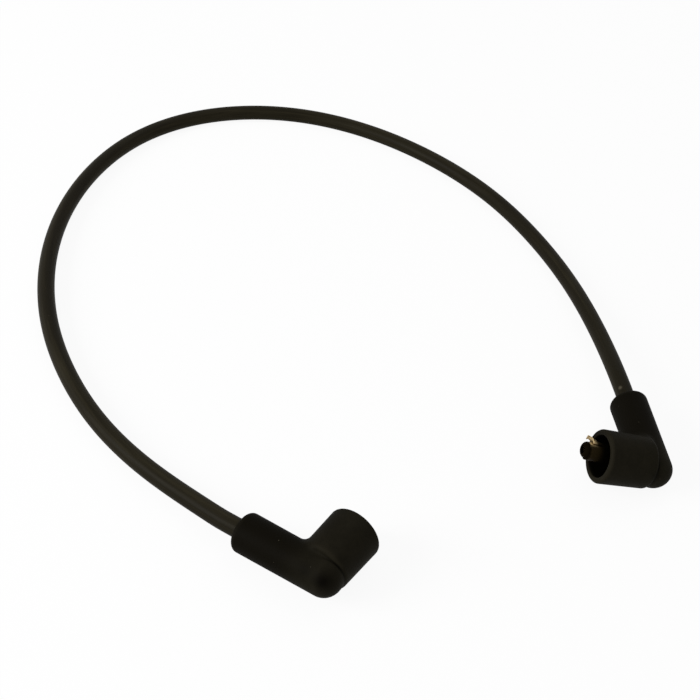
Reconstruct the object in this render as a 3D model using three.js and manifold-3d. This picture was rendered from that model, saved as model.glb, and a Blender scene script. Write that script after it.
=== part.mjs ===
// Ignition lead: a 7 mm high-tension cable with the same right-angle rubber boot and
// brass push-in terminal on both of its ends, lying in a loose loop on a flat surface.
// Millimetres, +Z up. The lead rests on z = 0, and the origin is under the middle of the
// two boots. The distributor end's cup opens along +Y.

import * as THREE from "three";
import { mergeVertices } from "three/addons/utils/BufferGeometryUtils.js";
import Module from "manifold-3d";

const wasm = await Module();
wasm.setup();

function deg(radians) {
  return THREE.MathUtils.radToDeg(radians);
}

function rad(degrees) {
  return THREE.MathUtils.degToRad(degrees);
}

// Clearances
const GAP = 0.3; // between two pieces that touch on the real lead
const OVERRUN = 1; // how far a cutting tool runs past the wall that it opens

// Cable: conductor, insulation and jacket, each a layer of its own
const JACKET_RADIUS = 3.5;
const JACKET_WALL = 1;
const CORE_RADIUS = 0.7;
const CABLE_STEPS = 50;
const JACKET_SIDES = 12;
const CORE_SIDES = 8;
const JACKET_END = 1; // the jacket's cut end stands this far out of the crimp wings
const STRIPPED_LENGTH = 1.5; // insulation left standing out of the jacket
const LAYER_GAP = 0.4; // wider than GAP, for the layers' bends are faceted

// Boot: a sleeve round the cable and a cup over the tower, square to each other
const SLEEVE_LENGTH = 31.5; // from the cup's axis to the end where the cable goes in
const SLEEVE_WALL = 3.5; // round the cable
const SLEEVE_FILLET = 2.1;
const ELBOW_WALL = 1.9; // round the chamber that holds the crimp
const HEEL_WALL = 5.5; // the closed end behind that chamber
const HEEL_FILLET = 6.6;
const CUP_LENGTH = 21.9; // from the sleeve's axis to the mouth
const CUP_BORE = 7.85;
const CUP_WALL = 2.15;
const CUP_TAPER = 0.5; // the cup is this much slimmer at its back
const CUP_BACK = 2; // from the sleeve's axis forward to the cup's back, where its shoulder stands up
const CUP_BACK_FILLET = 1.5;
const LIP_FILLET = 0.8;
const MOUTH_CHAMFER = 0.4;
const CUP_FLOOR = 4; // bottom of the cup's bore, from the sleeve's axis
const BOOT_SIDES = 32;

// Terminal: one stamped and rolled piece of sheet brass
const SHEET = 0.5;
const NOSE_RADIUS = 3.1;
const NOSE_REACH = 7.1; // past the boot's mouth
const NOSE_FILLET = 1.6; // the nose's rolled-in end
const LEAF_RADIUS = 5; // the spring leaf's outer edge
const LEAF_REACH = 4.3; // past the boot's mouth
const LEAF_LENGTH = 3.9;
const LEAF_ANGLE = 40; // the leaf's middle, in degrees from the sleeve's side of the barrel
const LEAF_SPAN = 58; // degrees of the barrel's outer turn
const LEAF_WINDOW = 82; // the window round the leaf, so that a slit frees each of its sides
const BARREL_LENGTH = 18.6; // the rolled barrel, from its nose backwards
const SEAM = 0.7;
const SEAM_ANGLE = 260;
const BARB_HEIGHT = 0.9; // the leaf's turned-out corner
const BARB_WIDTH = 1.9;
const BARB_ANGLE = 17;
const STRAP_WIDTH = 4.4;
const STRAP_OVERLAP = 1; // up the barrel's side
const WING_LENGTHS = [3, 3.5];
const WING_START = 7.5; // from the elbow's centre to the first pair of crimp wings
const WING_SPACE = 1;
const WING_OPENING = 1.2;
const TERMINAL_SIDES = 24;

// What follows from those sizes. The strap and the spring leaf are the barrel's outer turn.
const WINGS_END = WING_START + WING_LENGTHS[0] + WING_SPACE + WING_LENGTHS[1];
const CRIMP_INNER = JACKET_RADIUS + GAP;
const CRIMP_OUTER = CRIMP_INNER + SHEET;
const BARREL_RADIUS = NOSE_RADIUS + SHEET;
const NOSE = CUP_LENGTH + NOSE_REACH;
const TURN_EDGE = NOSE - NOSE_FILLET;
const BARREL_BACK = NOSE - BARREL_LENGTH;
const LEAF_EDGE = CUP_LENGTH + LEAF_REACH;
const LEAF_ROOT = LEAF_EDGE - LEAF_LENGTH;
const CHAMBER_RADIUS = Math.hypot(CRIMP_OUTER, STRAP_WIDTH / 2) + GAP;
const CHAMBER_BACK = BARREL_RADIUS + GAP;
const SLEEVE_RADIUS = JACKET_RADIUS + GAP + SLEEVE_WALL;
const ELBOW_RADIUS = CHAMBER_RADIUS + ELBOW_WALL;
const HEEL_LENGTH = CHAMBER_BACK + HEEL_WALL;
const CUP_RADIUS = CUP_BORE + CUP_WALL;

// Where each boot lies: its elbow's centre in plan, and the way that its sleeve points
const DISTRIBUTOR_END = {
  x: -21.8, y: -69,
  heading: 180,
  pitch: -deg(Math.asin((CUP_RADIUS - SLEEVE_RADIUS) / (SLEEVE_LENGTH - SLEEVE_FILLET))),
  roll: 180,
  lean: { side: 3, up: 5 },
};
const COIL_END = {
  x: 44.8, y: 48.8,
  heading: 131.4,
  pitch: 2,
  roll: 13.5,
  lean: { side: 1.8, up: 2.3 },
};

// The cable's free stretch, from the distributor boot round to the coil boot
const CABLE_ROUTE = [
  [-69.6, -68.6, 5.7], [-98.9, -66.3, 4.2], [-127.9, -60.1, 3.6], [-154.9, -48.9, 3.6],
  [-179.9, -33.3, 3.6], [-201.9, -13.8, 3.6], [-220.5, 9.1, 3.6], [-235.1, 35, 3.6],
  [-244.5, 63, 3.6], [-247, 92.2, 3.6], [-240.2, 120.4, 3.6], [-223.9, 144.8, 3.6],
  [-200.5, 162.4, 3.6], [-172.8, 172.2, 3.6], [-143.3, 175, 3.6], [-113.7, 172, 3.6],
  [-85.4, 163.8, 3.6], [-59.2, 151, 3.6], [-35.3, 134.5, 4.5], [-13.7, 115, 6.3],
  [6.2, 93.4, 8.5],
];
const STRAIGHT_RUN = 6.5; // the cable stays in line this far out of a sleeve

const RUBBER = { color: 0x211e17, roughness: 0.75, metalness: 0 };
const JACKET_RUBBER = { color: 0x26221b, roughness: 0.5, metalness: 0 };
const INSULATION = { color: 0xb9b2a0, roughness: 0.7, metalness: 0 };
const BRASS = { color: 0xb8924a, roughness: 0.35, metalness: 1 };
const COPPER = { color: 0xb06a3b, roughness: 0.4, metalness: 1 };

// Solids and booleans

function solid(geometry) {
  const bare = geometry.clone();
  bare.deleteAttribute("normal");
  bare.deleteAttribute("uv");
  const welded = mergeVertices(bare, 1e-5);
  return new wasm.Manifold(new wasm.Mesh({
    numProp: 3,
    vertProperties: new Float32Array(welded.attributes.position.array),
    triVerts: new Uint32Array(welded.index.array),
  }));
}

function geometryOf(manifold) {
  const mesh = manifold.getMesh();
  const geometry = new THREE.BufferGeometry();
  geometry.setAttribute("position", new THREE.BufferAttribute(mesh.vertProperties, 3));
  geometry.setIndex(new THREE.BufferAttribute(mesh.triVerts, 1));
  return geometry;
}

// Profiles are lists of [radius, height]

function roundOuter(radius, height, wanted, from, to, steps = 4) {
  const fillet = Math.min(wanted, radius);
  const points = [];
  for (let i = 0; i <= steps; i++) {
    const a = rad(from + ((to - from) * i) / steps);
    points.push([radius - fillet + fillet * Math.cos(a), height + fillet * Math.sin(a)]);
  }
  return points;
}

function turned(profile, sides) {
  const points = profile.map(([r, h]) => new THREE.Vector2(Math.max(r, 0), h));
  return new THREE.LatheGeometry(points, sides);
}

// A lathe's axis is Y, which is the cup's. The sleeve's axis is X.

function alongX(geometry) {
  return geometry.rotateZ(-Math.PI / 2);
}

// Boot

function bootSleeve() {
  return alongX(turned([
    [0, -HEEL_LENGTH],
    ...roundOuter(ELBOW_RADIUS, HEEL_FILLET - HEEL_LENGTH, HEEL_FILLET, -90, 0, 6),
    ...roundOuter(SLEEVE_RADIUS, SLEEVE_LENGTH - SLEEVE_FILLET, SLEEVE_FILLET, 0, 90),
    [0, SLEEVE_LENGTH],
  ], BOOT_SIDES));
}

function bootCup() {
  return turned([
    [0, CUP_BACK],
    ...roundOuter(CUP_RADIUS - CUP_TAPER, CUP_BACK + CUP_BACK_FILLET, CUP_BACK_FILLET, -90, 0),
    ...roundOuter(CUP_RADIUS, CUP_LENGTH - LIP_FILLET, LIP_FILLET, 0, 90, 3),
    [0, CUP_LENGTH],
  ], BOOT_SIDES);
}

function cupBore() {
  return turned([
    [0, CUP_FLOOR],
    [CUP_BORE, CUP_FLOOR],
    [CUP_BORE, CUP_LENGTH - MOUTH_CHAMFER],
    [CUP_BORE + MOUTH_CHAMFER + OVERRUN, CUP_LENGTH + OVERRUN],
    [0, CUP_LENGTH + OVERRUN],
  ], BOOT_SIDES);
}

function crimpChamber() {
  const bore = JACKET_RADIUS + GAP;
  const front = WINGS_END + GAP;
  return alongX(turned([
    [0, -CHAMBER_BACK],
    [CHAMBER_RADIUS, -CHAMBER_BACK],
    [CHAMBER_RADIUS, front],
    [bore, front + CHAMBER_RADIUS - bore],
    [bore, SLEEVE_LENGTH + OVERRUN],
    [0, SLEEVE_LENGTH + OVERRUN],
  ], BOOT_SIDES));
}

function bootGeometry() {
  const outside = solid(bootSleeve()).add(solid(bootCup()));
  return geometryOf(outside.subtract(solid(cupBore())).subtract(solid(crimpChamber())));
}

// Terminal

function plate(x0, x1, y0, y1, width) {
  const box = new THREE.BoxGeometry(x1 - x0, y1 - y0, width);
  return solid(box.translate((x0 + x1) / 2, (y0 + y1) / 2, 0));
}

function noseTube() {
  const bore = NOSE_RADIUS - SHEET;
  return solid(turned([
    [bore, BARREL_BACK],
    [NOSE_RADIUS, BARREL_BACK],
    ...roundOuter(NOSE_RADIUS, TURN_EDGE, NOSE_FILLET, 0, 90),
    ...roundOuter(bore, TURN_EDGE, NOSE_FILLET - SHEET, 90, 0),
    [bore, BARREL_BACK],
  ], TERMINAL_SIDES));
}

// The outer turn reaches into the nose tube's wall, so that the two are one solid
function outerTurn() {
  const inner = NOSE_RADIUS - SHEET / 2;
  const whole = solid(turned([
    [inner, BARREL_BACK],
    [BARREL_RADIUS, BARREL_BACK],
    [BARREL_RADIUS, TURN_EDGE],
    [inner, TURN_EDGE],
    [inner, BARREL_BACK],
  ], TERMINAL_SIDES));
  return whole.subtract(turnWedge(LEAF_WINDOW, LEAF_ROOT, TURN_EDGE + OVERRUN));
}

function springLeaf() {
  const inner = NOSE_RADIUS - SHEET / 2;
  const foot = LEAF_ROOT - SHEET;
  const flared = solid(turned([
    [inner, foot],
    [BARREL_RADIUS, foot],
    [BARREL_RADIUS, LEAF_ROOT],
    [LEAF_RADIUS, LEAF_EDGE],
    [LEAF_RADIUS - SHEET, LEAF_EDGE],
    [NOSE_RADIUS, LEAF_ROOT],
    [inner, LEAF_ROOT],
    [inner, foot],
  ], TERMINAL_SIDES));
  return flared.intersect(turnWedge(LEAF_SPAN, foot - OVERRUN, LEAF_EDGE + OVERRUN));
}

// The room round the barrel's axis that lies within a span of degrees on the leaf's side
function turnWedge(span, y0, y1) {
  const reach = 2 * LEAF_RADIUS;
  const half = rad(span / 2);
  const wedge = new THREE.Shape([
    new THREE.Vector2(0, 0),
    new THREE.Vector2(reach * Math.cos(half), -reach * Math.sin(half)),
    new THREE.Vector2(reach * Math.cos(half), reach * Math.sin(half)),
  ]);
  const prism = new THREE.ExtrudeGeometry(wedge, { depth: y1 - y0, bevelEnabled: false });
  prism.rotateX(Math.PI / 2).translate(0, y1, 0);
  return solid(prism.rotateY(-rad(LEAF_ANGLE)));
}

function radialBox(inner, outer, y0, y1, width, angle) {
  const box = new THREE.BoxGeometry(outer - inner, y1 - y0, width);
  box.translate((inner + outer) / 2, (y0 + y1) / 2, 0);
  return solid(box.rotateY(-rad(angle)));
}

function seam() {
  return radialBox(0, LEAF_RADIUS + OVERRUN, BARREL_BACK - OVERRUN, NOSE + OVERRUN, SEAM, SEAM_ANGLE);
}

function barb() {
  const foot = LEAF_RADIUS - SHEET;
  const corner = new THREE.Shape([
    new THREE.Vector2(foot, -BARB_WIDTH / 2),
    new THREE.Vector2(LEAF_RADIUS + BARB_HEIGHT, 0),
    new THREE.Vector2(foot, BARB_WIDTH / 2),
  ]);
  const prism = new THREE.ExtrudeGeometry(corner, { depth: SHEET, bevelEnabled: false });
  prism.rotateX(Math.PI / 2).translate(0, LEAF_EDGE, 0);
  return solid(prism.rotateY(-rad(BARB_ANGLE)));
}

function leaningBarrel(lean) {
  const bend = [-(NOSE_RADIUS + BARREL_RADIUS) / 2, -(CRIMP_INNER + CRIMP_OUTER) / 2, 0];
  const piece = noseTube().add(outerTurn()).add(springLeaf()).subtract(seam());
  const strap = plate(-BARREL_RADIUS, -NOSE_RADIUS, -CRIMP_OUTER, BARREL_BACK + STRAP_OVERLAP, STRAP_WIDTH);
  return piece.add(barb()).add(strap)
    .translate(bend.map((v) => -v))
    .rotate([lean.up, 0, -lean.side])
    .translate(bend);
}

function crimpWings(start, length) {
  const ring = solid(alongX(turned([
    [CRIMP_INNER, start],
    [CRIMP_OUTER, start],
    [CRIMP_OUTER, start + length],
    [CRIMP_INNER, start + length],
    [CRIMP_INNER, start],
  ], TERMINAL_SIDES)));
  const opening = plate(start - OVERRUN, start + length + OVERRUN, 0, CRIMP_OUTER + OVERRUN, WING_OPENING);
  return ring.subtract(opening);
}

function terminalGeometry(lean) {
  const foot = plate(-BARREL_RADIUS, WINGS_END, -CRIMP_OUTER, -CRIMP_INNER, STRAP_WIDTH);
  let start = WING_START;
  let piece = leaningBarrel(lean).add(foot);
  for (const length of WING_LENGTHS) {
    piece = piece.add(crimpWings(start, length));
    start += length + WING_SPACE;
  }
  return geometryOf(piece);
}

// Placing

function standard(finish) {
  return new THREE.MeshStandardMaterial(finish);
}

function named(name, geometry, finish) {
  const mesh = new THREE.Mesh(geometry, standard(finish));
  mesh.name = name;
  return mesh;
}

// A lead end is turned to its heading, pitch and roll, then set down on the surface
function leadEnd(name, place) {
  const end = new THREE.Group();
  const boot = named(`${name}_boot`, bootGeometry(), RUBBER);
  end.rotation.set(rad(place.roll), -rad(place.pitch), rad(place.heading), "ZYX");
  end.position.set(place.x, place.y, 0);
  end.add(boot);
  end.updateMatrixWorld(true);
  end.position.z = -new THREE.Box3().setFromObject(boot, true).min.z;
  end.add(named(`${name}_terminal`, terminalGeometry(place.lean), BRASS));
  end.updateMatrixWorld(true);
  return end;
}

function alongSleeve(end, distance) {
  return end.localToWorld(new THREE.Vector3(distance, 0, 0));
}

// Cable: every layer follows one curve that is straight inside both sleeves

function cableCurve(from, to, stop) {
  const stations = [stop, (stop + SLEEVE_LENGTH) / 2, SLEEVE_LENGTH, SLEEVE_LENGTH + STRAIGHT_RUN];
  return new THREE.CatmullRomCurve3([
    ...stations.map((distance) => alongSleeve(from, distance)),
    ...CABLE_ROUTE.map((point) => new THREE.Vector3(...point)),
    ...stations.reverse().map((distance) => alongSleeve(to, distance)),
  ]);
}

function ring(radius, sides) {
  const points = [];
  for (let i = 0; i < sides; i++) {
    const a = (2 * Math.PI * i) / sides;
    points.push(new THREE.Vector2(radius * Math.cos(a), radius * Math.sin(a)));
  }
  return points;
}

function cableLayer(curve, outer, outerSides, inner, innerSides) {
  const section = new THREE.Shape(ring(outer, outerSides));
  if (inner > 0) {
    section.holes.push(new THREE.Path(ring(inner, innerSides)));
  }
  return new THREE.ExtrudeGeometry(section, { steps: CABLE_STEPS, extrudePath: curve, bevelEnabled: false });
}

function cable(from, to) {
  const bore = JACKET_RADIUS - JACKET_WALL;
  const stop = WING_START - JACKET_END;
  const jacketCurve = cableCurve(from, to, stop);
  const insulationCurve = cableCurve(from, to, stop - STRIPPED_LENGTH);
  const coreCurve = cableCurve(from, to, 2 * GAP - NOSE_RADIUS);
  const jacket = cableLayer(jacketCurve, JACKET_RADIUS, JACKET_SIDES, bore, JACKET_SIDES);
  const insulationBore = CORE_RADIUS + LAYER_GAP;
  const insulation = cableLayer(insulationCurve, bore - LAYER_GAP, JACKET_SIDES, insulationBore, CORE_SIDES);
  const core = cableLayer(coreCurve, CORE_RADIUS, CORE_SIDES, 0, 0);
  return [
    named("cable_jacket", jacket, JACKET_RUBBER),
    named("cable_insulation", insulation, INSULATION),
    named("conductor_core", core, COPPER),
  ];
}

const lead = new THREE.Group();
const distributorEnd = leadEnd("distributor", DISTRIBUTOR_END);
const coilEnd = leadEnd("coil", COIL_END);
lead.add(distributorEnd, coilEnd, ...cable(distributorEnd, coilEnd));

export default lead;
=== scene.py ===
# %% [markdown]
# # An ignition lead with two right-angle boots
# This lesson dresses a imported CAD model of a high-tension ignition lead: one 7 mm rubber
# cable with a right-angle rubber boot and a brass push-in terminal at each end. The CAD
# model stays the frame. Every piece made here lies exactly where its CAD solid lies, so
# that the finished lead can be swapped for the plain one anywhere.
# The lead is almost black, and that makes it a good exercise: with so little colour, the
# shapes are read from soft reflections alone, so roundings, creases and roughness matter
# more than paint.

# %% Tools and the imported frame
import math

import bmesh
import bpy
import numpy as np
from mathutils import Matrix, Vector


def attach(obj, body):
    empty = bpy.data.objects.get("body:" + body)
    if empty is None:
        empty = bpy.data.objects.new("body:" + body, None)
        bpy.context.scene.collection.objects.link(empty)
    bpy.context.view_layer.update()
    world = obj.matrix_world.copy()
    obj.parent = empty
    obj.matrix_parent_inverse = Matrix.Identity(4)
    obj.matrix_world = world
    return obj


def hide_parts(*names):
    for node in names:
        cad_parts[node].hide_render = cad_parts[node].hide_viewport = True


MM = 0.001

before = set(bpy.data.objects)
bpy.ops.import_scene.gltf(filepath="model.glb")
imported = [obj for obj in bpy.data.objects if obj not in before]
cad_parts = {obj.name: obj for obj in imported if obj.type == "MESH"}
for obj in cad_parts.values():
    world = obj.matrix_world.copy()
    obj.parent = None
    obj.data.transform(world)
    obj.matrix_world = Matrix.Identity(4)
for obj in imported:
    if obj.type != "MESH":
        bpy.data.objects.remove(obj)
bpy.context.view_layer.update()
print("CAD nodes:", sorted(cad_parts))

# %% [markdown]
# ## Camera
# A product photo of a long lead is taken from well above, at a slant. The camera's tilt
# could be guessed and corrected by eye, but a cable of constant thickness says more: its
# width in the picture, measured all round the loop, shows which stretches are nearer.
# That ties the tilt to the lens without fixing either. The pair below breaks the tie, by
# a slip that was found late: with this lens the widths ask for a tilt of 42 degrees, and
# with this tilt for a lens of about 1440 pixels. The CAD model was traced through this
# same camera, so the lead still lies over the photo, but its loop isn't quite in
# proportion. The focal length is counted in pixels of a 700 pixel frame, and Blender
# wants it in millimetres of a 36 mm sensor.

# %% Camera
FRAME_PIXELS = 700
FOCAL_PIXELS = 1183.39
SENSOR_WIDTH = 36.0
CAMERA_PLACE = (0.10144, -0.27209, 0.32234)
CAMERA_HEADING = 30.67
CAMERA_TILT = 48.0
CAMERA_BANK = 6.42


def turn(degrees, axis):
    return Matrix.Rotation(math.radians(degrees), 4, axis)


def linked(name, data):
    """A new object for the data, put into the scene."""
    made = bpy.data.objects.new(name, data)
    bpy.context.scene.collection.objects.link(made)
    return made


camera_data = bpy.data.cameras.new("photo_camera")
camera_data.sensor_width = SENSOR_WIDTH
camera_data.lens = FOCAL_PIXELS * SENSOR_WIDTH / FRAME_PIXELS
camera = linked("photo_camera", camera_data)
camera.matrix_world = (
    Matrix.Translation(CAMERA_PLACE)
    @ turn(CAMERA_HEADING, "Z")
    @ turn(CAMERA_TILT, "X")
    @ turn(CAMERA_BANK, "Z")
)
bpy.context.scene.camera = camera
bpy.context.scene.view_settings.view_transform = "Standard"
print(f"camera: {camera_data.lens:.2f} mm lens, tilted {CAMERA_TILT} degrees from straight down")

# %% [markdown]
# ## Where the two ends lie
# Both ends are the same moulding, so it pays to model one boot in a frame of its own and
# to place it twice. That frame has its origin in the elbow, where the two bores cross.
# Its X axis runs out of the sleeve along the cable, and its Y axis out of the cup. A
# matrix made of heading, pitch and roll then sets each end down as the CAD model has it.

# %% The frames of the two ends
SLEEVE_LENGTH = 31.5
ENDS = {
    "distributor": {"elbow": (-21.8, -69.0, 9.969), "heading": 180.0, "pitch": -5.269, "roll": 180.0},
    "coil": {"elbow": (44.8, 48.8, 8.438), "heading": 131.4, "pitch": 2.0, "roll": 13.5},
}


def end_matrix(place):
    """The matrix from an end's own frame, in mm, to the lead's frame, in metres."""
    return (
        Matrix.Scale(MM, 4)
        @ Matrix.Translation(place["elbow"])
        @ turn(place["heading"], "Z")
        @ turn(-place["pitch"], "Y")
        @ turn(place["roll"], "X")
    )


end_frames = {name: end_matrix(place) for name, place in ENDS.items()}
for name, matrix in end_frames.items():
    sleeve_end = matrix @ Vector((SLEEVE_LENGTH, 0, 0))
    print(f"{name} sleeve ends at", [round(v / MM, 1) for v in sleeve_end], "mm")

# %% [markdown]
# ## The cable's line
# The cable is a real length of springy lead. As traced through the camera above, it runs
# about 684 mm from cut end to cut end. It leaves each sleeve in a straight line, sinks to
# the surface under its own weight, and rests there in one open loop. A Bezier curve with
# a round bevel would draw it, but a spline computed here gives exact control: it is
# straight inside the sleeves, and a clamped cubic through the listed route keeps the
# bends even in between.

# %% The cable's route
JACKET_STOP = 6.5
STRAIGHT_RUN = 6.5
STEPS_PER_SPAN = 60
RING_SPACING = 1.6
CABLE_ROUTE = [
    (-0.0696, -0.0686, 0.0057), (-0.0989, -0.0663, 0.0042), (-0.1279, -0.0601, 0.0036),
    (-0.1549, -0.0489, 0.0036), (-0.1799, -0.0333, 0.0036), (-0.2019, -0.0138, 0.0036),
    (-0.2205, 0.0091, 0.0036), (-0.2351, 0.0350, 0.0036), (-0.2445, 0.0630, 0.0036),
    (-0.2470, 0.0922, 0.0036), (-0.2402, 0.1204, 0.0036), (-0.2239, 0.1448, 0.0036),
    (-0.2005, 0.1624, 0.0036), (-0.1728, 0.1722, 0.0036), (-0.1433, 0.1750, 0.0036),
    (-0.1137, 0.1720, 0.0036), (-0.0854, 0.1638, 0.0036), (-0.0592, 0.1510, 0.0036),
    (-0.0353, 0.1345, 0.0045), (-0.0137, 0.1150, 0.0063), (0.0062, 0.0934, 0.0085),
]


def clamped_spline(points, first_slope, last_slope, steps):
    """A smooth cubic through the points, with given directions at its two ends."""
    chord = np.linalg.norm(np.diff(points, axis=0), axis=1)
    count = len(points)
    matrix = np.zeros((count, count))
    wanted = np.zeros((count, 3))
    matrix[0, 0] = matrix[-1, -1] = 1
    wanted[0], wanted[-1] = first_slope, last_slope
    for i in range(1, count - 1):
        before, after = chord[i - 1], chord[i]
        matrix[i, i - 1 : i + 2] = after, 2 * (before + after), before
        rise = (
            (points[i + 1] - points[i]) / after * before
            + (points[i] - points[i - 1]) / before * after
        )
        wanted[i] = 3 * rise
    slopes = np.linalg.solve(matrix, wanted)
    t = np.linspace(0, 1, steps, endpoint=False)[:, None]
    line = []
    for i in range(count - 1):
        h = chord[i]
        line.append(
            (2 * t**3 - 3 * t**2 + 1) * points[i]
            + (t**3 - 2 * t**2 + t) * h * slopes[i]
            + (3 * t**2 - 2 * t**3) * points[i + 1]
            + (t**3 - t**2) * h * slopes[i + 1]
        )
    return np.vstack([*line, points[-1:]])


def on_sleeve(name, distance):
    return np.array(end_frames[name] @ Vector((distance, 0, 0)))


def even_steps(line, spacing):
    """The same line with its points at equal distances."""
    run = np.concatenate([[0], np.cumsum(np.linalg.norm(np.diff(line, axis=0), axis=1))])
    marks = np.linspace(0, run[-1], int(round(run[-1] / spacing)) + 1)
    return np.column_stack([np.interp(marks, run, line[:, k]) for k in range(3)]), run[-1]


lead_out = SLEEVE_LENGTH + STRAIGHT_RUN
route = np.array([on_sleeve("distributor", lead_out), *CABLE_ROUTE, on_sleeve("coil", lead_out)])
leaving = on_sleeve("distributor", 1) - on_sleeve("distributor", 0)
arriving = on_sleeve("coil", 0) - on_sleeve("coil", 1)
leaving /= np.linalg.norm(leaving)
arriving /= np.linalg.norm(arriving)
free_run = clamped_spline(route, leaving, arriving, STEPS_PER_SPAN)
first_cut, last_cut = on_sleeve("distributor", JACKET_STOP), on_sleeve("coil", JACKET_STOP)
whole_line = np.vstack([first_cut, free_run, last_cut])
cable_line, cable_length = even_steps(whole_line, RING_SPACING * MM)
print(f"jacket: {cable_length / MM:.0f} mm long, {len(cable_line)} rings")

# %% [markdown]
# ## The jacket's skin
# The jacket is an extruded tube, and everything on its skin follows the extruder: fine
# lines run along it, and nothing runs round it. To let the materials know which way is
# along, each vertex also keeps the place that it would have on a straightened cable.
# That place has no seam, where a UV map would need one.

# %% Build the jacket
JACKET_RADIUS = 3.5
JACKET_BORE = 2.5
END_BEVEL = 0.15
JACKET_SIDES = 48


def mesh_object(name, vertices, faces):
    mesh = bpy.data.meshes.new(name)
    mesh.from_pydata([tuple(v) for v in vertices], [], [tuple(f) for f in faces])
    mesh.validate()
    mesh.update()
    return linked(name, mesh)


def keep_vectors(mesh, name, values):
    """Stores a point per vertex, for the materials to read."""
    layer = mesh.attributes.new(name, "FLOAT_VECTOR", "POINT")
    layer.data.foreach_set("vector", np.asarray(values, np.float32).ravel())


def keep_numbers(mesh, name, values):
    """Stores a number per vertex, for the materials to read."""
    layer = mesh.attributes.new(name, "FLOAT", "POINT")
    layer.data.foreach_set("value", np.asarray(values, np.float32))


def shade_smooth(mesh):
    mesh.polygons.foreach_set("use_smooth", [True] * len(mesh.polygons))
    mesh.update()


def tube_sections(last, radius, bore):
    """Rings as (index on the line, inset in mm, radius): out along the skin, back by the bore."""
    skin = [(0, 0, bore + END_BEVEL), (0, 0, radius - END_BEVEL), (0, END_BEVEL, radius)]
    skin += [(i, 0, radius) for i in range(1, last)]
    skin += [(last, -END_BEVEL, radius), (last, 0, radius - END_BEVEL), (last, 0, bore + END_BEVEL)]
    inside = [(last, -END_BEVEL, bore)] + [(i, 0, bore) for i in range(last - 1, 0, -1)]
    return skin + inside + [(0, END_BEVEL, bore)]


def cable_tube(name, line, radius, bore, sides):
    tangent = np.gradient(line, axis=0)
    tangent /= np.linalg.norm(tangent, axis=1)[:, None]
    across = np.cross(tangent, (0, 0, 1))
    across /= np.linalg.norm(across, axis=1)[:, None]
    upward = np.cross(across, tangent)
    run = np.concatenate([[0], np.cumsum(np.linalg.norm(np.diff(line, axis=0), axis=1))]) / MM
    angle = np.linspace(0, 2 * math.pi, sides, endpoint=False)
    sections = tube_sections(len(line) - 1, radius, bore)
    vertices, straight, faces = [], [], []
    for i, inset, r in sections:
        ring = np.outer(np.cos(angle), across[i]) + np.outer(np.sin(angle), upward[i])
        vertices.append(line[i] + tangent[i] * inset * MM + ring * r * MM)
        place = (r * np.cos(angle), r * np.sin(angle), np.full(sides, run[i] + inset))
        straight.append(np.column_stack(place))
    for k in range(len(sections)):
        this, other = k * sides, ((k + 1) % len(sections)) * sides
        for s in range(sides):
            t = (s + 1) % sides
            faces.append((this + s, this + t, other + t, other + s))
    made = mesh_object(name, np.vstack(vertices), faces)
    keep_vectors(made.data, "straight", np.vstack(straight))
    shade_smooth(made.data)
    return made


jacket = cable_tube("cable_jacket_skin", cable_line, JACKET_RADIUS, JACKET_BORE, JACKET_SIDES)
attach(jacket, "root")
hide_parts("cable_jacket")
print("jacket faces:", len(jacket.data.polygons))

# %% [markdown]
# ## The boot's form as a distance
# The real boot is one rubber moulding: two fat tubes that run into each other with a
# small fillet, soft lips, and hollow inside. Lathes and booleans give such a form with
# hard, uneven seams. A distance function is the gentler way here. It says, for any point,
# how far the rubber's surface is, and forms are rounded and blended by plain arithmetic.
# The crease where cup and sleeve meet is sharp round the heel and filled toward the sleeve.
# The main sizes are the CAD model's, in millimetres, in the boot's own frame. The lips'
# rounding, the filled crease and the close fit round the cable are this lesson's own.

# %% Rounding and blending distances
def rounded_edge(a, b, fillet):
    """Inside both a and b, with the edge between them rounded."""
    corner = np.hypot(np.maximum(a + fillet, 0), np.maximum(b + fillet, 0))
    return np.minimum(np.maximum(a + fillet, b + fillet), 0) + corner - fillet


def blended(a, b, reach):
    """Inside a or b, with the crease between them filled."""
    near = np.maximum(reach - np.abs(a - b), 0) / reach
    return np.minimum(a, b) - near * near * reach / 4


def rod(along, out, radius, low, high, low_fillet, high_fillet):
    """A round rod along one axis, with its two ends rounded."""
    side = out - radius
    return np.maximum(
        rounded_edge(side, low - along, low_fillet), rounded_edge(side, along - high, high_fillet)
    )


# %% The boot's outside and its hollow
SLEEVE_RADIUS, SLEEVE_FILLET = 7.3, 2.1
ELBOW_RADIUS, HEEL_LENGTH, HEEL_FILLET = 7.03, 9.4, 6.6
CUP_RADIUS, CUP_TAPER, CUP_LENGTH = 10.0, 0.5, 21.9
CUP_BACK, CUP_BACK_FILLET, LIP_FILLET = 2.0, 1.5, 1.1
CUP_BORE, CUP_FLOOR, BORE_FILLET = 7.85, 4.0, 0.8
CHAMBER_RADIUS, CHAMBER_BACK, CHAMBER_FRONT = 5.13, 3.9, 15.3
CABLE_GRIP = 3.56
RIM_FILLET = 0.4
CHAMBER_FILLETS = (0.3, 1.2)
GRIP_BLEND, CUP_BLEND = 0.8, 0.4
HEEL_FILL, SLEEVE_FILL = 0.5, 2.4
# Where along its axis each of these grows from its first value to its last.
SLEEVE_GROWS, CUP_GROWS, FILL_GROWS = (-2.8, 29.4), (0, 21.1), (-5, 3)


def eased(value, low, high):
    return np.clip((value - low) / (high - low), 0, 1)


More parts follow.
